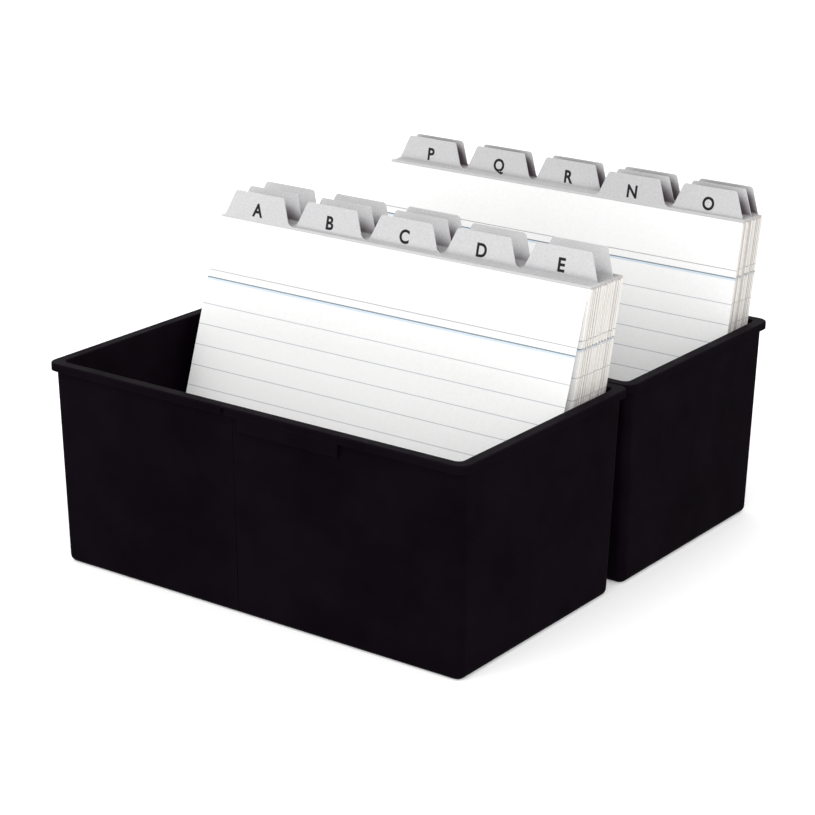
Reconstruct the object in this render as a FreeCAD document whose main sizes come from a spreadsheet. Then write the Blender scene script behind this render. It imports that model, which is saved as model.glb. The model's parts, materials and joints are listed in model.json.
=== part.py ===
import FreeCAD, Part
import math
import os
import Sketcher

# A two-tray desk card file.  Two identical moulded trays stand one behind the other, and each holds
# a pack of A6 record cards divided by lettered guide cards.  The packs lean back on the rear rims, and
# one card leans against the front pack with its foot further forward.
# Millimetres.  X runs across the trays, Y runs from the front tray to the rear one, Z is up, and the
# origin is the centre of the bounding box's base.

doc = FreeCAD.newDocument("CardFile")
sheet = doc.addObject("Spreadsheet::Sheet", "Dimensions")

DIMENSIONS = {
    # the moulded tray
    "rim_width": 164.0,
    "rim_depth": 93.2,
    "tray_height": 70.0,
    "rim_overhang": 1.6,
    "rim_lip": 2.6,
    "wall_thickness": 2.4,
    "side_draft": 1.0,
    "end_draft": 2.4,
    "floor_thickness": 1.2,
    "rim_corner_radius": 4.0,
    "wall_corner_radius": 3.0,
    "cavity_corner_radius": 2.0,
    "foot_edge_radius": 2.4,
    "floor_fillet_radius": 1.0,
    "rim_edge_radius": 0.5,
    "foot_inset": 9.0,
    "foot_recess": 0.4,
    "tray_gap": 0.2,
    # low ribs across the floor, in front of the cards
    "rib_length": 120.0,
    "rib_width": 1.2,
    "rib_rise": 0.5,
    "rib_root": 0.2,
    "rib_pitch": 6.0,
    "rib_count": 5,
    "front_rib_y": -34.0,
    # the deeper stretch of lip that a label clips under, the line beside it and the notch
    "label_lip_left": -2.4,
    "label_lip_right": 36.0,
    "label_lip_drop": 4.4,
    "label_lip_setback": 0.25,
    "witness_line_x": -5.6,
    "witness_line_width": 0.4,
    "witness_line_cut": 0.25,
    "notch_x": -8.0,
    "notch_width": 1.8,
    "notch_cut": 0.8,
    # paper
    "card_width": 148.0,
    "card_height": 105.0,
    "card_thickness": 0.2,
    "card_gap": 0.03,
    "guide_thickness": 0.3,
    "guide_gap": 0.04,
    "group_gap": 0.06,
    "strip_height": 1.0,
    "tab_width": 27.4,
    "tab_rise": 9.0,
    "tab_slant": 3.5,
    "tab_margin": 1.4,
    "tab_foot_radius": 2.6,
    "tab_corner_radius": 1.2,
    "tab_positions": 5,
    # how the two packs stand
    "card_clearance": 0.4,
    "rim_rest_gap": 0.4,
    "front_pack_lean": 13.2,
    "front_side_shift": 0.6,
    "front_back_side_shift": 1.4,
    "rear_pack_lean": 10.4,
    "rear_side_shift": 0.5,
    "rear_back_side_shift": 1.6,
    "leaning_card_foot": -1.9,
    "leaning_card_lean": 18.0,
    "leaning_card_shift": 0.5,
}

for row, (alias, value) in enumerate(DIMENSIONS.items(), start=1):
    sheet.set("A%d" % row, alias)
    sheet.set("B%d" % row, str(value))
    sheet.setAlias("B%d" % row, alias)
doc.recompute()

FRONT_LETTERS = ["A", "B", "C", "D", "E", "F", "G", "H", "I", "J", "K", "L", "M"]
REAR_LETTERS = ["N", "O", "P", "Q", "R", "S", "T", "U", "V", "W", "XY", "Z"]

# how many cards stand in front of each pack, and how many are filed behind each guide
LOOSE_CARDS = {"front": 3, "rear": 2}
FRONT_CARDS = [5, 4, 4, 3, 6, 6, 6, 5, 6, 5, 2, 2, 1]
REAR_CARDS = [4, 7, 2, 1, 2, 3, 1, 2, 2, 3, 1, 2]
CARDS_BEHIND = dict(zip(FRONT_LETTERS + REAR_LETTERS, FRONT_CARDS + REAR_CARDS))

nodes = []


def size(alias):
    """The value of one driving dimension."""
    return float(sheet.get(alias))


def origin_plane(body, role):
    """One of a body's own origin planes."""
    return [feature for feature in body.Origin.OriginFeatures if feature.Role == role][0]


def new_sketch(body, name, role, height=None):
    """A sketch on an origin plane, lifted to a height that is an expression on the sheet."""
    sketch = body.newObject("Sketcher::SketchObject", name)
    sketch.AttachmentSupport = [(origin_plane(body, role), "")]
    sketch.MapMode = "FlatFace"
    if height:
        sketch.setExpression("AttachmentOffset.Base.z", height)
    return sketch


def bind(sketch, kind, arguments, expression, name):
    """Add a dimension constraint at its present value, name it and tie it to the sheet."""
    if kind == "Radius":
        value = sketch.Geometry[arguments[0]].Radius
    else:
        span = sketch.getPoint(*arguments[2:]) - sketch.getPoint(*arguments[:2])
        value = span.x if kind == "DistanceX" else span.y
    index = sketch.addConstraint(Sketcher.Constraint(kind, *arguments, value))
    sketch.renameConstraint(index, name)
    sketch.setExpression("Constraints." + name, expression)


def rounded_rectangle(sketch, width, depth, radius):
    """A centred rectangle with round corners; the three sizes are expressions on the sheet."""
    x, y, r = 60.0, 35.0, 3.0
    lines = [
        ((-x + r, -y), (x - r, -y)),
        ((x, -y + r), (x, y - r)),
        ((x - r, y), (-x + r, y)),
        ((-x, y - r), (-x, -y + r)),
    ]
    for start, end in lines:
        sketch.addGeometry(Part.LineSegment(FreeCAD.Vector(*start, 0), FreeCAD.Vector(*end, 0)))
    corners = [(x - r, -y + r, 270), (x - r, y - r, 0), (-x + r, y - r, 90), (-x + r, -y + r, 180)]
    for cx, cy, start_angle in corners:
        circle = Part.Circle(FreeCAD.Vector(cx, cy, 0), FreeCAD.Vector(0, 0, 1), r)
        first = math.radians(start_angle)
        sketch.addGeometry(Part.ArcOfCircle(circle, first, first + math.pi / 2))
    for side in range(4):
        arc = 4 + side
        sketch.addConstraint(Sketcher.Constraint("Tangent", side, 2, arc, 1))
        sketch.addConstraint(Sketcher.Constraint("Tangent", arc, 2, (side + 1) % 4, 1))
    for side in (0, 2):
        sketch.addConstraint(Sketcher.Constraint("Horizontal", side))
        sketch.addConstraint(Sketcher.Constraint("Vertical", side + 1))
    for arc in (5, 6, 7):
        sketch.addConstraint(Sketcher.Constraint("Equal", 4, arc))
    sketch.addConstraint(Sketcher.Constraint("Symmetric", 5, 3, 7, 3, -1, 1))
    bind(sketch, "DistanceX", (3, 1, 1, 1), width, "width")
    bind(sketch, "DistanceY", (0, 1, 2, 1), depth, "depth")
    bind(sketch, "Radius", (4,), radius, "radius")


def rectangle(sketch, left, bottom, width, depth):
    """A plain rectangle placed from the sketch's origin by four expressions."""
    corners = [(-3.0, -2.0), (3.0, -2.0), (3.0, 2.0), (-3.0, 2.0)]
    for start, end in zip(corners, corners[1:] + corners[:1]):
        sketch.addGeometry(Part.LineSegment(FreeCAD.Vector(*start, 0), FreeCAD.Vector(*end, 0)))
    for side in range(4):
        sketch.addConstraint(Sketcher.Constraint("Coincident", side, 2, (side + 1) % 4, 1))
    for side in (0, 2):
        sketch.addConstraint(Sketcher.Constraint("Horizontal", side))
        sketch.addConstraint(Sketcher.Constraint("Vertical", side + 1))
    bind(sketch, "DistanceX", (-1, 1, 0, 1), left, "left")
    bind(sketch, "DistanceY", (-1, 1, 0, 1), bottom, "bottom")
    bind(sketch, "DistanceX", (0, 1, 0, 2), width, "width")
    bind(sketch, "DistanceY", (1, 1, 1, 2), depth, "depth")


def d(formula):
    """Turn words in a formula into references to the sheet's cells."""
    words = []
    for word in formula.split():
        words.append("Dimensions." + word if word in DIMENSIONS else word)
    return " ".join(words)


def pad(body, name, sketch, length, reverse=False):
    """A pad whose length is an expression on the sheet."""
    feature = body.newObject("PartDesign::Pad", name)
    feature.Profile = sketch
    feature.setExpression("Length", length)
    feature.Reversed = reverse
    doc.recompute()
    return feature


def pocket(body, name, sketch, length):
    """An upward pocket; it stops the run if it cuts nothing."""
    before = body.Tip.Shape.Volume
    feature = body.newObject("PartDesign::Pocket", name)
    feature.Profile = sketch
    feature.setExpression("Length", length)
    feature.Reversed = True
    doc.recompute()
    if not feature.Shape.Volume < before:
        raise RuntimeError(name + " cut nothing")
    return feature


def fillet(body, name, picked, radius):
    """Round the edges of the body's tip that a test picks."""
    base = body.Tip
    names = []
    for index, edge in enumerate(base.Shape.Edges, start=1):
        if picked(edge):
            names.append("Edge%d" % index)
    feature = body.newObject("PartDesign::Fillet", name)
    feature.Base = (base, names)
    feature.setExpression("Radius", radius)
    doc.recompute()
    return feature


def block(body, kind, name, bottom, top, foot_size, head_size):
    """A centred block with drafted sides; the sizes are expressions for its foot and its head."""
    feature = body.newObject("PartDesign::" + kind, name)
    feature.AttachmentSupport = [(origin_plane(body, "XY_Plane"), "")]
    feature.MapMode = "FlatFace"
    # a wedge grows along its own Y, so it is turned to grow along Z
    feature.AttachmentOffset = FreeCAD.Placement(
        FreeCAD.Vector(), FreeCAD.Rotation(FreeCAD.Vector(1, 0, 0), 90))
    feature.setExpression("Ymin", bottom)
    feature.setExpression("Ymax", top)
    for axis, foot, head in zip("XZ", foot_size, head_size):
        feature.setExpression(axis + "min", d("0 - ( " + foot + " ) / 2"))
        feature.setExpression(axis + "max", d("( " + foot + " ) / 2"))
        feature.setExpression(axis + "2min", d("0 - ( " + head + " ) / 2"))
        feature.setExpression(axis + "2max", d("( " + head + " ) / 2"))
    doc.recompute()
    return feature


def level_edges(z):
    """A test for the edges that lie level at one height."""
    def test(edge):
        box = edge.BoundBox
        return abs(box.ZMin - z) < 1e-4 and abs(box.ZMax - z) < 1e-4
    return test


def upright_edges(z_low, z_high, inside_x):
    """A test for the edges that climb between two heights, no further out than a distance in X."""
    def test(edge):
        box = edge.BoundBox
        climbs = abs(box.ZMin - z_low) < 1e-4 and abs(box.ZMax - z_high) < 1e-4
        return climbs and abs(edge.CenterOfMass.x) < inside_x
    return test


def make_tray(name, tray_y):
    """One moulded tray: drafted walls, an outward rim, a label lip and a ribbed floor."""
    body = doc.addObject("PartDesign::Body", name)
    body.Label = name
    wall = ["rim_width - 2 * rim_overhang", "rim_depth - 2 * rim_overhang"]
    draft = [" - 2 * side_draft", " - 2 * end_draft"]
    foot = [side + slope for side, slope in zip(wall, draft)]
    mouth = [side + " - 2 * wall_thickness" for side in wall]
    floor = [side + slope for side, slope in zip(mouth, draft)]
    height = size("tray_height")
    floor_z = size("floor_thickness")

    block(body, "AdditiveWedge", name + "_walls", "0", d("tray_height"), foot, wall)
    fillet(
        body, name + "_wall_corners", upright_edges(0, height, size("rim_width")), d("wall_corner_radius"))
    fillet(body, name + "_foot_edge", level_edges(0), d("foot_edge_radius"))

    rim = new_sketch(body, name + "_rim_outline", "XY_Plane", d("tray_height - rim_lip"))
    rounded_rectangle(rim, d("rim_width"), d("rim_depth"), d("rim_corner_radius"))
    pad(body, name + "_rim", rim, d("rim_lip"))

    lip_foot = d("tray_height - rim_lip - label_lip_drop")
    lip = new_sketch(body, name + "_label_lip_outline", "XY_Plane", lip_foot)
    rectangle(
        lip, d("label_lip_left"), d("label_lip_setback - rim_depth / 2"),
        d("label_lip_right - label_lip_left"), d("rim_overhang + wall_thickness / 2"))
    pad(body, name + "_label_lip", lip, d("label_lip_drop + rim_lip / 2"))

    block(body, "SubtractiveWedge", name + "_cavity", d("floor_thickness"), d("tray_height"), floor, mouth)
    inner_x = size("rim_width") / 2 - size("rim_overhang") - size("wall_thickness") / 2
    fillet(
        body, name + "_cavity_corners", upright_edges(floor_z, height, inner_x), d("cavity_corner_radius"))
    fillet(body, name + "_floor_fillet", level_edges(floor_z), d("floor_fillet_radius"))
    fillet(body, name + "_rim_edges", level_edges(height), d("rim_edge_radius"))

    # a fine line down the front wall, where two mould blocks meet, lies along the wall's draft
    full_volume = body.Tip.Shape.Volume
    line = body.newObject("PartDesign::SubtractiveBox", name + "_witness_line")
    line.AttachmentSupport = [(origin_plane(body, "XY_Plane"), "")]
    line.MapMode = "FlatFace"
    draft_angle = math.degrees(math.atan2(size("end_draft"), height))
    line.AttachmentOffset = FreeCAD.Placement(
        FreeCAD.Vector(), FreeCAD.Rotation(FreeCAD.Vector(1, 0, 0), draft_angle))
    line_y = "rim_overhang + end_draft + witness_line_cut - rim_depth / 2 - wall_thickness"
    line.setExpression("AttachmentOffset.Base.x", d("witness_line_x - witness_line_width / 2"))
    line.setExpression("AttachmentOffset.Base.y", d(line_y))
    line.setExpression("Length", d("witness_line_width"))
    line.setExpression("Width", d("wall_thickness"))
    line.setExpression("Height", d("tray_height - rim_lip"))
    doc.recompute()
    if not line.Shape.Volume < full_volume:
        raise RuntimeError(name + ": the witness line cut nothing")

    notch = new_sketch(body, name + "_notch_outline", "XY_Plane", d("tray_height - rim_lip"))
    rectangle(
        notch, d("notch_x - notch_width / 2"), d("0 - rim_depth / 2 - notch_cut"),
        d("notch_width"), d("2 * notch_cut"))
    pocket(body, name + "_notch", notch, d("rim_lip - rim_edge_radius"))

    hollow = new_sketch(body, name + "_foot_recess_outline", "XY_Plane")
    rounded_rectangle(
        hollow, d(wall[0] + " - 2 * foot_inset"), d(wall[1] + " - 2 * foot_inset"), d("wall_corner_radius"))
    pocket(body, name + "_foot_recess", hollow, d("foot_recess"))

    rib = new_sketch(body, name + "_rib_outline", "XY_Plane", d("floor_thickness - rib_root"))
    rectangle(rib, d("0 - rib_length / 2"), d("front_rib_y"), d("rib_length"), d("rib_width"))
    first_rib = pad(body, name + "_rib", rib, d("rib_rise + rib_root"))
    row_of_ribs = body.newObject("PartDesign::LinearPattern", name + "_ribs")
    row_of_ribs.Originals = [first_rib]
    row_of_ribs.Direction = (origin_plane(body, "Y_Axis"), [""])
    row_of_ribs.Occurrences = int(size("rib_count"))
    row_of_ribs.setExpression("Length", d("rib_pitch * ( rib_count - 1 )"))
    body.Tip = row_of_ribs
    doc.recompute()

    body.Placement = FreeCAD.Placement(FreeCAD.Vector(0, tray_y, 0), FreeCAD.Rotation())
    nodes.append(body)


def stand(side_shift, y, lean, local_y=0.0):
    """The place of a piece that stands on the tray's floor and leans back by an angle in degrees."""
    turn = FreeCAD.Rotation(FreeCAD.Vector(1, 0, 0), -lean)
    foot = FreeCAD.Vector(side_shift, y, size("floor_thickness") + size("card_clearance"))
    return FreeCAD.Placement(foot + turn.multVec(FreeCAD.Vector(0, local_y, 0)), turn)


def make_guide(letter, place):
    """A lettered guide card: a full-width sheet with one trapezoid tab standing above the cards."""
    name = "guide_" + letter
    body = doc.addObject("PartDesign::Body", name)
    body.Label = name
    order = (FRONT_LETTERS + REAR_LETTERS).index(letter)
    column = order % int(size("tab_positions"))
    tab_pitch = "( card_width - 2 * tab_margin - tab_width ) / ( tab_positions - 1 )"
    tab_left = d("tab_margin - card_width / 2 + %d * %s" % (column, tab_pitch))

    half = size("card_width") / 2
    width = size("tab_width")
    pitch = (2 * half - 2 * size("tab_margin") - width) / (size("tab_positions") - 1)
    left = size("tab_margin") - half + column * pitch
    strip = size("card_height") + size("strip_height")
    top = strip + size("tab_rise")
    slant = size("tab_slant")
    outline = [
        (-half, 0), (half, 0), (half, strip), (left + width, strip), (left + width - slant, top),
        (left + slant, top), (left, strip), (-half, strip),
    ]
    sketch = new_sketch(body, name + "_outline", "XZ_Plane")
    for start, end in zip(outline, outline[1:] + outline[:1]):
        sketch.addGeometry(Part.LineSegment(FreeCAD.Vector(*start, 0), FreeCAD.Vector(*end, 0)))
    count = len(outline)
    for side in range(count):
        sketch.addConstraint(Sketcher.Constraint("Coincident", side, 2, (side + 1) % count, 1))
    for side in (2, 4, 6):
        sketch.addConstraint(Sketcher.Constraint("Horizontal", side))
    for side in (1, 7):
        sketch.addConstraint(Sketcher.Constraint("Vertical", side))
    sketch.addConstraint(Sketcher.Constraint("PointOnObject", 0, 1, -1))
    sketch.addConstraint(Sketcher.Constraint("Symmetric", 0, 1, 0, 2, -2))
    bind(sketch, "DistanceX", (0, 1, 0, 2), d("card_width"), "sheet_width")
    bind(sketch, "DistanceY", (1, 1, 1, 2), d("card_height + strip_height"), "strip_top")
    bind(sketch, "DistanceY", (7, 2, 7, 1), d("card_height + strip_height"), "strip_top_left")
    bind(sketch, "DistanceX", (-1, 1, 6, 1), tab_left, "tab_left")
    bind(sketch, "DistanceX", (6, 1, 2, 2), d("tab_width"), "tab_width")
    bind(sketch, "DistanceX", (6, 1, 5, 1), d("tab_slant"), "left_slant")
    bind(sketch, "DistanceX", (3, 2, 3, 1), d("tab_slant"), "right_slant")
    bind(sketch, "DistanceY", (3, 1, 3, 2), d("tab_rise"), "tab_rise")
    pad(body, name + "_sheet", sketch, d("guide_thickness"), reverse=True)

    def is_corner(edge, height, inside):
        middle = edge.CenterOfMass
        across = edge.BoundBox.YLength > size("guide_thickness") / 2
        return across and abs(middle.z - height) < 0.01 and abs(middle.x) < inside

    # a tab at the end of the row has no room for a round foot on its outer side
    inner = half - size("tab_foot_radius")
    fillet(body, name + "_tab_feet", lambda edge: is_corner(edge, strip, inner), d("tab_foot_radius"))
    fillet(body, name + "_tab_corners", lambda edge: is_corner(edge, top, half), d("tab_corner_radius"))
    body.Placement = place
    nodes.append(body)


def make_cards(name, count, place):
    """A group of loose record cards, one plain sheet of card behind another."""
    sheets = []
    for index in range(count):
        card = doc.addObject("Part::Box", "%s_card_%d" % (name, index + 1))
        card.setExpression("Length", d("card_width"))
        card.setExpression("Width", d("card_thickness"))
        card.setExpression("Height", d("card_height"))
        card.setExpression("Placement.Base.x", d("0 - card_width / 2"))
        card.setExpression("Placement.Base.y", d("%d * ( card_thickness + card_gap )" % index))
        sheets.append(card)
    group = doc.addObject("Part::Compound", name)
    group.Label = name
    group.Links = sheets
    doc.recompute()
    group.Placement = place
    nodes.append(group)


def group_depth(count, letter):
    """How thick a group of cards is, with the guide in front of it if there is one."""
    depth = count * (size("card_thickness") + size("card_gap")) - size("card_gap")
    if letter:
        depth += size("guide_thickness") + size("guide_gap")
    return depth


def pack_back(lean):
    """Where the back face of a pack meets the floor, from the tray's middle; its back rests on the rim."""
    rise = size("tray_height") - size("floor_thickness") - size("card_clearance")
    rim = size("rim_depth") / 2 - size("rim_overhang") - size("wall_thickness")
    return rim - size("rim_rest_gap") - rise * math.tan(lean)


def make_pack(tray, letters, tray_y):
    """One tray's pack, stacked forward from the rim: each guide with its cards, then the loose cards."""
    lean = size(tray + "_pack_lean")
    flat = math.cos(math.radians(lean))
    shift_front = size(tray + "_side_shift")
    shift_back = size(tray + "_back_side_shift")
    foot = tray_y + pack_back(math.radians(lean))
    for order in range(len(letters), -1, -1):
        letter = letters[order - 1] if order else None
        count = CARDS_BEHIND[letter] if letter else LOOSE_CARDS[tray]
        depth = group_depth(count, letter)
        # a leaning group's back edge hangs lower than its front edge
        if depth * math.sin(math.radians(lean)) > size("card_clearance"):
            raise RuntimeError("the cards behind %s would sink into the floor" % letter)
        foot -= depth / flat
        shift = shift_front + order / len(letters) * (shift_back - shift_front)
        if letter:
            make_guide(letter, stand(shift, foot, lean))
            behind_guide = size("guide_thickness") + size("guide_gap")
            make_cards("cards_" + letter, count, stand(shift, foot, lean, behind_guide))
        else:
            make_cards("loose_cards_" + tray, count, stand(shift, foot, lean))
        foot -= size("group_gap") / flat


# The rear pack's tabs overhang the rear rim, so the trays stand a little in front of the origin.
rear_lean = math.radians(size("rear_pack_lean"))
last_letter = REAR_LETTERS[-1]
last_foot = pack_back(rear_lean) - group_depth(CARDS_BEHIND[last_letter], last_letter) / math.cos(rear_lean)
tab_top = size("card_height") + size("strip_height") + size("tab_rise")
tab_reach = last_foot + tab_top * math.sin(rear_lean) + size("guide_thickness") * math.cos(rear_lean)
overhang_behind = max(0.0, tab_reach - size("rim_depth") / 2)
tray_pitch = size("rim_depth") + size("tray_gap")
front_tray_y = -tray_pitch / 2 - overhang_behind / 2
rear_tray_y = front_tray_y + tray_pitch

make_tray("front_tray", front_tray_y)
make_tray("rear_tray", rear_tray_y)
make_pack("front", FRONT_LETTERS, front_tray_y)
make_pack("rear", REAR_LETTERS, rear_tray_y)
leaning_foot = front_tray_y + size("leaning_card_foot")
make_cards("leaning_card", 1, stand(size("leaning_card_shift"), leaning_foot, size("leaning_card_lean")))
doc.recompute()

for item in doc.Objects:
    if "Invalid" in item.State or "Error" in item.State:
        raise RuntimeError("%s did not build: %s" % (item.Name, item.State))
for node in nodes:
    if node.Shape.isNull() or not node.Shape.isValid():
        raise RuntimeError(node.Label + " has no valid shape")

os.makedirs("parts", exist_ok=True)
for node in nodes:
    node.Shape.exportStep("parts/%s.step" % node.Label)

whole = FreeCAD.BoundBox()
for node in nodes:
    whole.add(node.Shape.BoundBox)
print("nodes", len(nodes), "box", whole)
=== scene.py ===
import json
import math
import random

import bpy
from mathutils import Matrix, Vector


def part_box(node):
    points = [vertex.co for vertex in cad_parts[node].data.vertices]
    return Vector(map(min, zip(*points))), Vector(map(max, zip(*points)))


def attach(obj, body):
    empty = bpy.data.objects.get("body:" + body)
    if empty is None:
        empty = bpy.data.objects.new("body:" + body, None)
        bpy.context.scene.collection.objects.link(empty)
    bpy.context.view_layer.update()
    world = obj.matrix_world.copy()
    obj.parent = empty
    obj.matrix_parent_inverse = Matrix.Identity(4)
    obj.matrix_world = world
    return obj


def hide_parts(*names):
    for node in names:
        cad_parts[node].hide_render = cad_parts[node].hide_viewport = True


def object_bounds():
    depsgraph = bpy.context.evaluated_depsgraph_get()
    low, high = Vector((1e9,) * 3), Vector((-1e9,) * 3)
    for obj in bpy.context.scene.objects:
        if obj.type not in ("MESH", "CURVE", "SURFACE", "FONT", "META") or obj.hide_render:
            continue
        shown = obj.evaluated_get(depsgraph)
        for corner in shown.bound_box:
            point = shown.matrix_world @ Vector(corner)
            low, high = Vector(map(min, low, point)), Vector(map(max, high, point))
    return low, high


# A two-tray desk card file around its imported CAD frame.  The trays and the lettered guides are the
# CAD nodes with moulded-plastic and guide-card materials.  Every group of record cards is replaced by
# its separate sheets, with printed rules, and each guide's letter is printed on its tab.

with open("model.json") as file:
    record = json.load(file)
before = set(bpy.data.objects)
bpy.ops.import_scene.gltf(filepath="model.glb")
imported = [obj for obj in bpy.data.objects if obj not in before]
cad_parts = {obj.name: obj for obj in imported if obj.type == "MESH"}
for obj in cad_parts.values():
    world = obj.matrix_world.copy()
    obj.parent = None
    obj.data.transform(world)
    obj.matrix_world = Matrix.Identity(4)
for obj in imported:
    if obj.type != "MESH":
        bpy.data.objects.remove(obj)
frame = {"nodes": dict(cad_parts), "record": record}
cad_low, cad_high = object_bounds()
cad_nodes = frame["nodes"]
body_of_node = {}
for body_name, members in frame["record"]["behaviour"]["bodies"].items():
    for member in members:
        body_of_node[member] = body_name

MM = 0.001

# record cards
SHEET_THICKNESS = 0.2 * MM
SHEET_PITCH = 0.23 * MM
CARD_WIDTH = 148.0 * MM
CARD_HEIGHT = 105.0 * MM
CARD_CORNER = 0.5 * MM
CARD_STRAY = 0.35 * MM
CARD_FREE = 0.4 * MM
LEANING_CARD_FREE = 0.1 * MM
CARD_TONE = 0.35
CARD_SPANS = 10
CARD_ROWS = 8

# printed rules: distance below the card's top edge, width, ink
HEADER_RULES = [(16.05, 0.28, "faint"), (18.65, 0.42, "bold"), (19.22, 0.6, "band")]
FIRST_RULE = 27.75
PRINT_DROP = {"leaning_card": -0.4, "loose_cards_rear": 0.4}
RULE_PITCH = 7.12
RULE_COUNT = 11
RULE_WIDTH = 0.26
INK_RISE = 0.01 * MM
INKS = ["faint", "bold", "band", "feint"]

# lettered tabs
TAB_RISE = 9.0 * MM
LETTER_HEIGHT = 4.6 * MM
LETTER_BELOW_TOP = 5.5 * MM
LETTER_INK = 0.02 * MM
LETTER_NARROWING = 0.93
LETTER_BOLDNESS = 0.03

# the camera, from the middle of the front tray's base
CAMERA_AZIMUTH = 35.5476
CAMERA_ELEVATION = 18.8594
CAMERA_ROLL = 0.65
CAMERA_LENS = 108.7
CAMERA_ASIDE = 23.92 * MM
CAMERA_ABOVE = 55.62 * MM
CAMERA_AWAY = 809.3 * MM

random.seed(20)


# ---------------------------------------------------------------- places

class Leaf:
    """The place, depth and height of one leaning CAD node, in the node's own upright frame."""

    def __init__(self, name):
        mesh = cad_nodes[name].data
        normal = max(mesh.polygons, key=lambda face: face.area).normal
        back = Vector((0.0, normal.y, normal.z)).normalized()
        if back.y < 0:
            back.negate()
        across = Vector((1.0, 0.0, 0.0))
        axes = [across, back, across.cross(back)]
        low = []
        high = []
        for axis in axes:
            reach = [vertex.co.dot(axis) for vertex in mesh.vertices]
            low.append(min(reach))
            high.append(max(reach))
        self.depth = high[1] - low[1]
        self.height = high[2] - low[2]
        self.axes = axes
        self.centre_x = (low[0] + high[0]) / 2
        origin = axes[0] * self.centre_x + axes[1] * low[1] + axes[2] * low[2]
        turn = Matrix(axes).transposed().to_4x4()
        self.place = Matrix.Translation(origin) @ turn
        self.mesh = mesh

    def tab_centre(self):
        """Where the middle of the tab's top edge is, across the leaf."""
        top = self.place.translation.dot(self.axes[2]) + self.height - 0.2 * MM
        across = [v.co.x for v in self.mesh.vertices if v.co.dot(self.axes[2]) > top]
        return (min(across) + max(across)) / 2 - self.centre_x


# ---------------------------------------------------------------- mesh building

class Build:
    """Points and faces of one mesh, with a material number, a tone and a grain position."""

    def __init__(self):
        self.points = []
        self.faces = []
        self.materials = []
        self.tones = []
        self.grain = []

    def add(self, points, faces, tone=0.0, grain=Vector()):
        start = len(self.points)
        for point in points:
            self.points.append(point)
            self.tones.append(tone)
            self.grain.append(Vector(point) + grain)
        for corners, material in faces:
            self.faces.append([start + corner for corner in corners])
            self.materials.append(material)

    def finish(self, name, place, body, materials):
        mesh = bpy.data.meshes.new(name)
        mesh.from_pydata(self.points, [], self.faces)
        mesh.polygons.foreach_set("material_index", self.materials)
        tone = mesh.attributes.new("tone", "FLOAT", "POINT")
        tone.data.foreach_set("value", self.tones)
        grain = mesh.attributes.new("grain", "FLOAT_VECTOR", "POINT")
        grain.data.foreach_set("vector", [value for point in self.grain for value in point])
        for material in materials:
            mesh.materials.append(material)
        mesh.update()
        piece = bpy.data.objects.new(name, mesh)
        bpy.context.scene.collection.objects.link(piece)
        piece.matrix_world = place
        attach(piece, body)
        return piece


def slab(columns, lows, highs, front, back, rows=1):
    """Points and faces of a thin closed slab: columns across, each from its low to its high edge.

    Each face comes with 0 for the slab's front and back, or 1 for its edges.
    """
    points = []
    for y in (front, back):
        for x, low, high in zip(columns, lows, highs):
            for row in range(rows + 1):
                z = low + (high - low) * row / rows
                points.append((x, y, z))
    count = len(columns)
    tall = rows + 1

    def at(side, column, row):
        return side * count * tall + column * tall + row

    faces = []
    for i in range(count - 1):
        for j in range(rows):
            faces.append(((at(0, i, j), at(0, i + 1, j), at(0, i + 1, j + 1), at(0, i, j + 1)), 0))
            faces.append(((at(1, i, j), at(1, i, j + 1), at(1, i + 1, j + 1), at(1, i + 1, j)), 0))
        faces.append(((at(0, i, 0), at(1, i, 0), at(1, i + 1, 0), at(0, i + 1, 0)), 1))
        faces.append(((at(0, i, rows), at(0, i + 1, rows), at(1, i + 1, rows), at(1, i, rows)), 1))
    last = count - 1
    for j in range(rows):
        faces.append(((at(0, 0, j), at(0, 0, j + 1), at(1, 0, j + 1), at(1, 0, j)), 1))
        faces.append(((at(0, last, j), at(1, last, j), at(1, last, j + 1), at(0, last, j + 1)), 1))
    return points, faces


def card_columns(width, corner):
    """Places across a card, closer together in its round corners."""
    half = width / 2
    edge = [half - corner * (1 - math.cos(math.radians(angle))) for angle in (0, 35, 65, 90)]
    inner = []
    for step in range(1, CARD_SPANS):
        inner.append(-half + corner + (width - 2 * corner) * step / CARD_SPANS)
    return [-x for x in edge] + inner + list(reversed(edge))


def corner_inset(x, width, corner):
    """How far a round corner takes the card's top and bottom edges in at one place across it."""
    short = corner - (width / 2 - abs(x))
    if short <= 0:
        return 0.0
    return corner - math.sqrt(max(0.0, corner * corner - short * short))


def add_card(build, shift_x, shift_z, y, tone):
    """One record card."""
    columns = card_columns(CARD_WIDTH, CARD_CORNER)
    insets = [corner_inset(x, CARD_WIDTH, CARD_CORNER) for x in columns]
    lows = [shift_z + inset for inset in insets]
    highs = [shift_z + CARD_HEIGHT - inset for inset in insets]
    places = [x + shift_x for x in columns]
    points, faces = slab(places, lows, highs, y, y + SHEET_THICKNESS, CARD_ROWS)
    grain = Vector((random.random(), random.random(), random.random()))
    build.add(points, faces, tone, grain)


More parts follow.
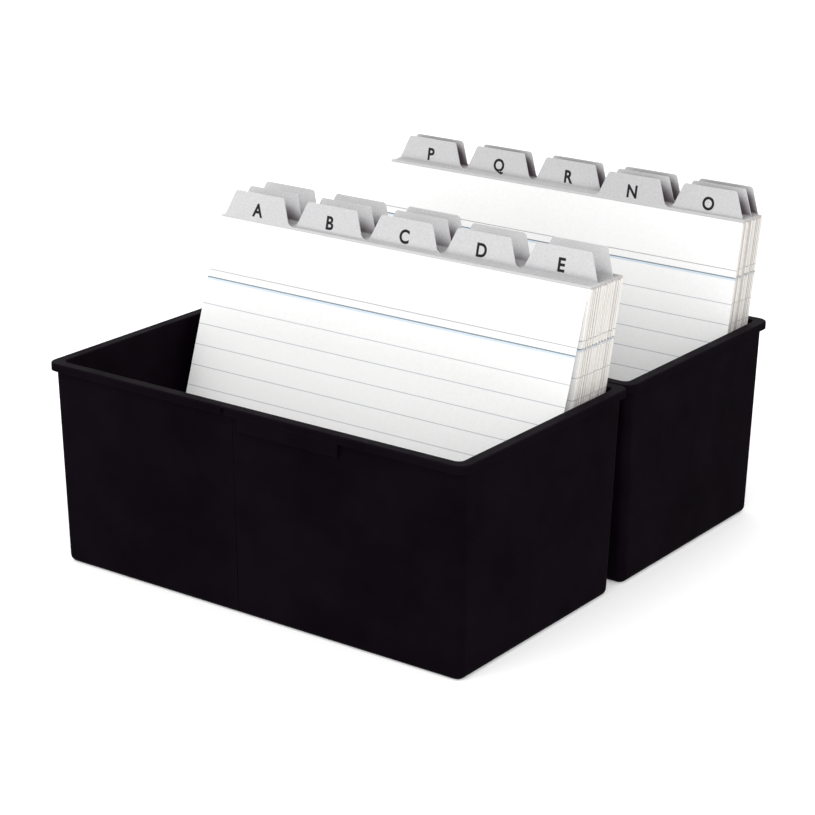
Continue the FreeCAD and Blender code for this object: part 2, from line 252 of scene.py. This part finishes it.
def add_rules(build, shift_x, shift_z, y, drop):
    """The rules printed on one card; the ones below the header run on the back as well."""
    half = CARD_WIDTH / 2 + INK_RISE
    columns = [shift_x - half + 2 * half * step / CARD_SPANS for step in range(CARD_SPANS + 1)]
    rules = [(below, width, ink, False) for below, width, ink in HEADER_RULES]
    for count in range(RULE_COUNT):
        rules.append((FIRST_RULE + RULE_PITCH * count, RULE_WIDTH, "feint", True))
    for below, width, ink, both_sides in rules:
        middle = shift_z + CARD_HEIGHT - (below + drop) * MM
        low = [middle - width * MM / 2] * len(columns)
        high = [middle + width * MM / 2] * len(columns)
        back = y + SHEET_THICKNESS + (INK_RISE if both_sides else -SHEET_THICKNESS / 2)
        points, faces = slab(columns, low, high, y - INK_RISE, back)
        inks = [INKS.index(ink), INKS.index("faint")]
        build.add(points, [(corners, inks[is_edge]) for corners, is_edge in faces])


# ---------------------------------------------------------------- materials

class Shade:
    """A small helper that builds one node material."""

    def __init__(self, name):
        self.material = bpy.data.materials.new(name)
        self.material.use_nodes = True
        self.tree = self.material.node_tree
        self.shader = self.tree.nodes["Principled BSDF"]

    def node(self, kind, settings=None, **inputs):
        made = self.tree.nodes.new("ShaderNode" + kind)
        for key, value in (settings or {}).items():
            setattr(made, key, value)
        for key, value in inputs.items():
            self.put(made.inputs[key.replace("_", " ")], value)
        return made

    def put(self, socket, value):
        if isinstance(value, bpy.types.NodeSocket):
            self.tree.links.new(value, socket)
        else:
            socket.default_value = value

    def set(self, name, value):
        self.put(self.shader.inputs[name], value)

    def noise(self, vector, scale, detail=2.0, roughness=0.5):
        made = self.node("TexNoise", Vector=vector, Scale=scale, Detail=detail, Roughness=roughness)
        return made.outputs["Fac"]

    def remap(self, value, low, high, to_low, to_high):
        made = self.node("MapRange", Value=value)
        for name, number in zip(("From Min", "From Max", "To Min", "To Max"), (low, high, to_low, to_high)):
            made.inputs[name].default_value = number
        return made.outputs["Result"]

    def mix(self, factor, first, second):
        made = self.node("Mix", {"data_type": "RGBA"})
        self.put(made.inputs[0], factor)
        self.put(made.inputs[6], first)
        self.put(made.inputs[7], second)
        return made.outputs[2]

    def compute(self, operation, *values):
        made = self.node("Math", {"operation": operation})
        for socket, value in zip(made.inputs, values):
            self.put(socket, value)
        return made.outputs[0]

    def compare(self, value, threshold):
        """One where the value is above the threshold, and zero elsewhere."""
        return self.compute("GREATER_THAN", value, threshold)

    def stretch(self, vector, factors):
        made = self.tree.nodes.new("ShaderNodeVectorMath")
        made.operation = "MULTIPLY"
        self.put(made.inputs[0], vector)
        made.inputs[1].default_value = factors
        return made.outputs[0]

    def bump(self, height, distance, strength):
        made = self.node("Bump", Height=height, Distance=distance, Strength=strength)
        self.set("Normal", made.outputs["Normal"])


def tray_plastic():
    """Black injection-moulded plastic: a fine spark-eroded grain, uneven sheen, worn edges."""
    s = Shade("tray_plastic")
    place = s.node("TexCoord").outputs["Object"]
    cloud = s.noise(place, 38.0, 3.0, 0.6)
    grain = s.noise(place, 2600.0, 2.0, 0.6)
    dark = (0.0030, 0.0016, 0.0034, 1.0)
    light = (0.0046, 0.0027, 0.0051, 1.0)
    body = s.mix(s.remap(cloud, 0.35, 0.65, 0.0, 1.0), dark, light)
    bevel = s.node("Bevel", {"samples": 4}, Radius=0.5 * MM).outputs["Normal"]
    flat = s.node("NewGeometry").outputs["Normal"]
    turn = s.tree.nodes.new("ShaderNodeVectorMath")
    turn.operation = "DOT_PRODUCT"
    s.put(turn.inputs[0], bevel)
    s.put(turn.inputs[1], flat)
    rubbed = s.remap(turn.outputs["Value"], 0.995, 0.93, 0.0, 0.6)
    s.set("Base Color", s.mix(rubbed, body, (0.0065, 0.0048, 0.0070, 1.0)))
    s.set("Roughness", s.remap(s.noise(place, 90.0, 4.0, 0.65), 0.3, 0.7, 0.42, 0.58))
    s.set("Specular IOR Level", 0.015)
    s.bump(grain, 0.03 * MM, 0.5)
    return s.material


def guide_sheet(tray, tab_foot):
    """Light grey guide card: fine mottling, cut edges painted paler on top and brown at the sides, painted
    shade between the tabs.

    The painted shade between the tabs, darker where ambient occlusion is deeper, starts at the height where
    one tray's tabs rise from their guides.
    """
    s = Shade("guide_sheet_" + tray)
    coordinates = s.node("TexCoord")
    place = coordinates.outputs["Object"]
    fibre = s.noise(place, 2200.0, 3.0, 0.6)
    cloud = s.noise(place, 140.0, 3.0, 0.6)
    low = (0.475, 0.475, 0.485, 1.0)
    high = (0.610, 0.610, 0.615, 1.0)
    mottled = s.mix(s.remap(fibre, 0.3, 0.7, 0.0, 1.0), low, high)
    sheet = s.mix(s.remap(cloud, 0.3, 0.7, 0.0, 0.35), mottled, (0.55, 0.54, 0.55, 1.0))
    split = s.node("SeparateXYZ", Vector=coordinates.outputs["Normal"])
    # painted highlight: faces that point up are painted paler than the rest of the sheet
    lit_top = s.compare(split.outputs["Z"], 0.7)
    with_painted_top_light = s.mix(lit_top, sheet, (0.78, 0.77, 0.76, 1.0))
    # painted shade: the side cut edges are painted warm brown
    shaded_side = s.compare(s.compute("ABSOLUTE", split.outputs["X"]), 0.97)
    edge_light_and_shade = s.mix(shaded_side, with_painted_top_light, (0.54, 0.48, 0.42, 1.0))
    # painted shade: surfaces in deep crevices between the leaves, found by ambient occlusion, are darkened
    # towards dark mauve
    open_air = s.node("AmbientOcclusion", {"samples": 12}, Distance=8.0 * MM).outputs["AO"]
    depth = s.remap(open_air, 0.76, 0.42, 0.0, 0.96)
    height = s.node("SeparateXYZ", Vector=place).outputs["Z"]
    on_tab = s.remap(height, tab_foot - 0.2 * MM, tab_foot + 0.5 * MM, 0.12, 1.0)
    flat = s.compute("SUBTRACT", 1.0, lit_top)
    shaded = s.compute("MULTIPLY", s.compute("MULTIPLY", depth, on_tab), flat)
    # the dark mauve mixed in here is painted shade between the tabs
    s.set("Base Color", s.mix(shaded, edge_light_and_shade, (0.060, 0.036, 0.048, 1.0)))
    s.set("Roughness", s.remap(cloud, 0.3, 0.7, 0.55, 0.70))
    s.set("Specular IOR Level", 0.3)
    s.bump(fibre, 0.015 * MM, 0.3)
    return s.material


def paper(name, low, high, streak=(1.0, 1.0, 1.0), scale=900.0, crevice_shade=0.0):
    """Card stock: fine fibres, a slow unevenness, a tone for each sheet, and painted shade in its crevices.
    """
    s = Shade(name)
    place = s.node("Attribute", {"attribute_name": "grain"}).outputs["Vector"]
    tone = s.node("Attribute", {"attribute_name": "tone"}).outputs["Fac"]
    fibre = s.noise(s.stretch(place, streak), scale, 4.0, 0.7)
    cloud = s.noise(place, 25.0, 2.0, 0.5)
    stock = s.mix(s.remap(fibre, 0.3, 0.7, 0.0, 1.0), low, high)
    slow = s.mix(s.remap(cloud, 0.3, 0.7, 0.0, 0.5), stock, high)
    toned = s.mix(tone, slow, tuple(0.9 * value for value in low[:3]) + (1.0,))
    # painted shade: crevices, found by ambient occlusion, are darkened towards a dark mauve
    if crevice_shade:
        open_air = s.node("AmbientOcclusion", {"samples": 12}, Distance=3.0 * MM).outputs["AO"]
        toned = s.mix(s.remap(open_air, 0.85, 0.40, 0.0, crevice_shade), toned, (0.055, 0.035, 0.045, 1.0))
    s.set("Base Color", toned)
    s.set("Roughness", s.remap(cloud, 0.3, 0.7, 0.62, 0.74))
    s.set("Specular IOR Level", 0.25)
    s.bump(fibre, 0.015 * MM, 0.3)
    return s.material


def ink(name, light, dark):
    """Printing ink that the paper's tooth breaks up a little."""
    s = Shade(name)
    place = s.node("Attribute", {"attribute_name": "grain"}).outputs["Vector"]
    tooth = s.noise(place, 3500.0, 2.0, 0.6)
    s.set("Base Color", s.mix(s.remap(tooth, 0.35, 0.7, 0.0, 1.0), dark, light))
    s.set("Roughness", s.remap(tooth, 0.3, 0.7, 0.55, 0.75))
    s.set("Specular IOR Level", 0.2)
    return s.material


def letter_ink():
    """Black gloss-less lettering with a trace of the card's tooth."""
    s = Shade("letter_ink")
    place = s.node("TexCoord").outputs["Generated"]
    tooth = s.noise(place, 40.0, 3.0, 0.6)
    black = (0.004, 0.004, 0.005, 1.0)
    worn = (0.014, 0.013, 0.015, 1.0)
    s.set("Base Color", s.mix(s.remap(tooth, 0.3, 0.7, 0.0, 1.0), black, worn))
    s.set("Roughness", s.remap(tooth, 0.3, 0.7, 0.45, 0.65))
    s.set("Specular IOR Level", 0.25)
    return s.material


TRAY = tray_plastic()
CARD_FACE = paper("card_face", (0.86, 0.86, 0.855, 1.0), (0.93, 0.93, 0.925, 1.0))
# card edges; the last number sets how strongly the crevices between the card tops get painted shade
CARD_EDGE = paper(
    "card_edge", (0.66, 0.61, 0.56, 1.0), (0.90, 0.86, 0.81, 1.0), (1.0, 1.0, 0.05), 1600.0, 0.95)
LETTER = letter_ink()
INK_MATERIALS = [
    ink("ink_faint", (0.47, 0.45, 0.47, 1.0), (0.37, 0.35, 0.37, 1.0)),
    ink("ink_bold", (0.24, 0.30, 0.34, 1.0), (0.15, 0.19, 0.22, 1.0)),
    ink("ink_band", (0.70, 0.79, 0.88, 1.0), (0.60, 0.70, 0.80, 1.0)),
    ink("ink_feint", (0.56, 0.59, 0.62, 1.0), (0.44, 0.47, 0.50, 1.0)),
]


# ---------------------------------------------------------------- CAD nodes that stay

def dress(name, material):
    """Give a CAD node its finished material."""
    mesh = cad_nodes[name].data
    mesh.materials.clear()
    mesh.materials.append(material)


def tab_foot_height(guide):
    """How high the tabs of one leaning guide start above the ground."""
    leaf = Leaf(guide)
    return leaf.place.translation.z + (leaf.height - TAB_RISE) * leaf.axes[2].z


GUIDE_SHEETS = {
    "front": guide_sheet("front", tab_foot_height("guide_A")),
    "rear": guide_sheet("rear", tab_foot_height("guide_N")),
}

for node_name in sorted(cad_nodes):
    if node_name.endswith("_tray"):
        dress(node_name, TRAY)
    elif node_name.startswith("guide_"):
        tray = "front" if node_name < "guide_N" else "rear"
        dress(node_name, GUIDE_SHEETS[tray])


# ---------------------------------------------------------------- record cards

def make_cards(name):
    """Replace one group of CAD cards by its separate sheets and their printed rules."""
    leaf = Leaf(name)
    count = round((leaf.depth - SHEET_THICKNESS) / SHEET_PITCH) + 1
    free_height = LEANING_CARD_FREE if name == "leaning_card" else CARD_FREE
    cards = Build()
    rules = Build()
    for number in range(count):
        shift_x = random.uniform(-CARD_STRAY, CARD_STRAY)
        shift_z = random.uniform(0.0, free_height)
        tone = random.uniform(0.0, CARD_TONE)
        y = number * SHEET_PITCH
        add_card(cards, shift_x, shift_z, y, tone)
        add_rules(rules, shift_x, shift_z, y, PRINT_DROP.get(name, 0.0))
    body = body_of_node[name]
    piece = cards.finish("paper_" + name, leaf.place, body, [CARD_FACE, CARD_EDGE])
    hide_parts(name)
    printed = rules.finish("rules_" + name, leaf.place, body, INK_MATERIALS)


for node_name in sorted(cad_nodes):
    if "card" in node_name:
        make_cards(node_name)


# ---------------------------------------------------------------- letters

def text_mesh(text, scale):
    """A flat letter with a little thickness, as a mesh."""
    curve = bpy.data.curves.new("text", "FONT")
    curve.body = text
    curve.size = scale
    curve.offset = LETTER_BOLDNESS * scale
    curve.extrude = LETTER_INK / 2
    carrier = bpy.data.objects.new("text", curve)
    bpy.context.scene.collection.objects.link(carrier)
    bpy.context.view_layer.update()
    mesh = bpy.data.meshes.new_from_object(carrier.evaluated_get(bpy.context.evaluated_depsgraph_get()))
    bpy.data.objects.remove(carrier)
    bpy.data.curves.remove(curve)
    return mesh


def mesh_span(mesh, axis):
    """Lowest and highest value of one coordinate of a mesh."""
    values = [vertex.co[axis] for vertex in mesh.vertices]
    return min(values), max(values)


sample_low, sample_high = mesh_span(text_mesh("E", 1.0), 1)
LETTER_SCALE = LETTER_HEIGHT / (sample_high - sample_low)

for node_name in sorted(cad_nodes):
    if not node_name.startswith("guide_"):
        continue
    label = node_name[len("guide_"):]
    leaf = Leaf(node_name)
    mesh = text_mesh(label, LETTER_SCALE)
    left, right = mesh_span(mesh, 0)
    mesh.transform(Matrix.Translation((-(left + right) / 2, -LETTER_HEIGHT / 2, 0)))
    mesh.transform(Matrix.Scale(LETTER_NARROWING, 4, (1.0, 0.0, 0.0)))
    mesh.name = "letter_" + label
    mesh.materials.clear()
    mesh.materials.append(LETTER)
    piece = bpy.data.objects.new("letter_" + label, mesh)
    bpy.context.scene.collection.objects.link(piece)
    upright = Matrix.Rotation(math.pi / 2, 4, "X")
    spot = Vector((leaf.tab_centre(), 0.0, leaf.height - LETTER_BELOW_TOP))
    piece.matrix_world = leaf.place @ Matrix.Translation(spot) @ upright
    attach(piece, body_of_node[node_name])


# ---------------------------------------------------------------- floor, light, camera

def make_floor():
    """A large pale floor."""
    s = Shade("studio_floor")
    place = s.node("TexCoord").outputs["Object"]
    s.set("Base Color", s.mix(s.noise(place, 3.0), (0.90, 0.90, 0.90, 1.0), (0.92, 0.92, 0.92, 1.0)))
    s.set("Roughness", 0.9)
    s.set("Specular IOR Level", 0.1)
    s.set("Emission Color", (1.0, 1.0, 1.0, 1.0))
    s.set("Emission Strength", 0.22)
    half = 6.0
    mesh = bpy.data.meshes.new("studio_floor")
    corners = [(-half, -half, 0), (half, -half, 0), (half, half, 0), (-half, half, 0)]
    mesh.from_pydata(corners, [], [(0, 1, 2, 3)])
    mesh.materials.append(s.material)
    floor = bpy.data.objects.new("studio_floor", mesh)
    bpy.context.scene.collection.objects.link(floor)
    floor.visible_glossy = False


def make_world():
    """Even white light from above, and less from below the horizon."""
    world = bpy.data.worlds.new("studio")
    bpy.context.scene.world = world
    world.use_nodes = True
    tree = world.node_tree
    background = tree.nodes["Background"]
    coordinates = tree.nodes.new("ShaderNodeTexCoord")
    split = tree.nodes.new("ShaderNodeSeparateXYZ")
    ramp = tree.nodes.new("ShaderNodeMapRange")
    tree.links.new(coordinates.outputs["Generated"], split.inputs[0])
    tree.links.new(split.outputs["Z"], ramp.inputs["Value"])
    ramp.inputs["From Min"].default_value = -0.05
    ramp.inputs["From Max"].default_value = 0.15
    ramp.inputs["To Min"].default_value = 0.30
    ramp.inputs["To Max"].default_value = 1.0
    tree.links.new(ramp.outputs["Result"], background.inputs["Strength"])
    background.inputs["Color"].default_value = (1.0, 1.0, 1.0, 1.0)


def area_light(name, offset, target, size, watts):
    """A square soft light at an offset from the point it faces."""
    data = bpy.data.lights.new(name, "AREA")
    data.shape = "SQUARE"
    data.size = size
    data.energy = watts
    light = bpy.data.objects.new(name, data)
    bpy.context.scene.collection.objects.link(light)
    light.location = target + offset
    light.rotation_mode = "QUATERNION"
    light.rotation_quaternion = (-offset).to_track_quat("-Z", "Y")


def make_camera(centre):
    """The photograph's viewing angle: azimuth and elevation round the front tray's base."""
    azimuth = math.radians(CAMERA_AZIMUTH)
    elevation = math.radians(CAMERA_ELEVATION)
    roll = math.radians(CAMERA_ROLL)
    back = Vector((
        math.sin(azimuth) * math.cos(elevation),
        -math.cos(azimuth) * math.cos(elevation),
        math.sin(elevation)))
    level = Vector((math.cos(azimuth), math.sin(azimuth), 0.0))
    rise = level.cross(-back)
    right = math.cos(roll) * level + math.sin(roll) * rise
    up = -math.sin(roll) * level + math.cos(roll) * rise
    data = bpy.data.cameras.new("camera")
    data.sensor_width = 36.0
    data.lens = CAMERA_LENS
    data.clip_start = 0.01
    data.clip_end = 50.0
    camera = bpy.data.objects.new("camera", data)
    bpy.context.scene.collection.objects.link(camera)
    place = Matrix((right, up, back)).transposed().to_4x4()
    place.translation = centre + CAMERA_ASIDE * right + CAMERA_ABOVE * up + CAMERA_AWAY * back
    camera.matrix_world = place
    bpy.context.scene.camera = camera


front_low, front_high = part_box("front_tray")
front_base = Vector(((front_low.x + front_high.x) / 2, (front_low.y + front_high.y) / 2, front_low.z))
middle = (cad_low + cad_high) / 2

make_floor()
make_world()
area_light("key", Vector((-0.5, -1.9, 2.1)), middle, 2.0, 29.0)
area_light("fill", Vector((1.6, -1.6, 1.5)), middle, 1.8, 17.0)
make_camera(front_base)
bpy.context.scene.view_settings.view_transform = "Standard"
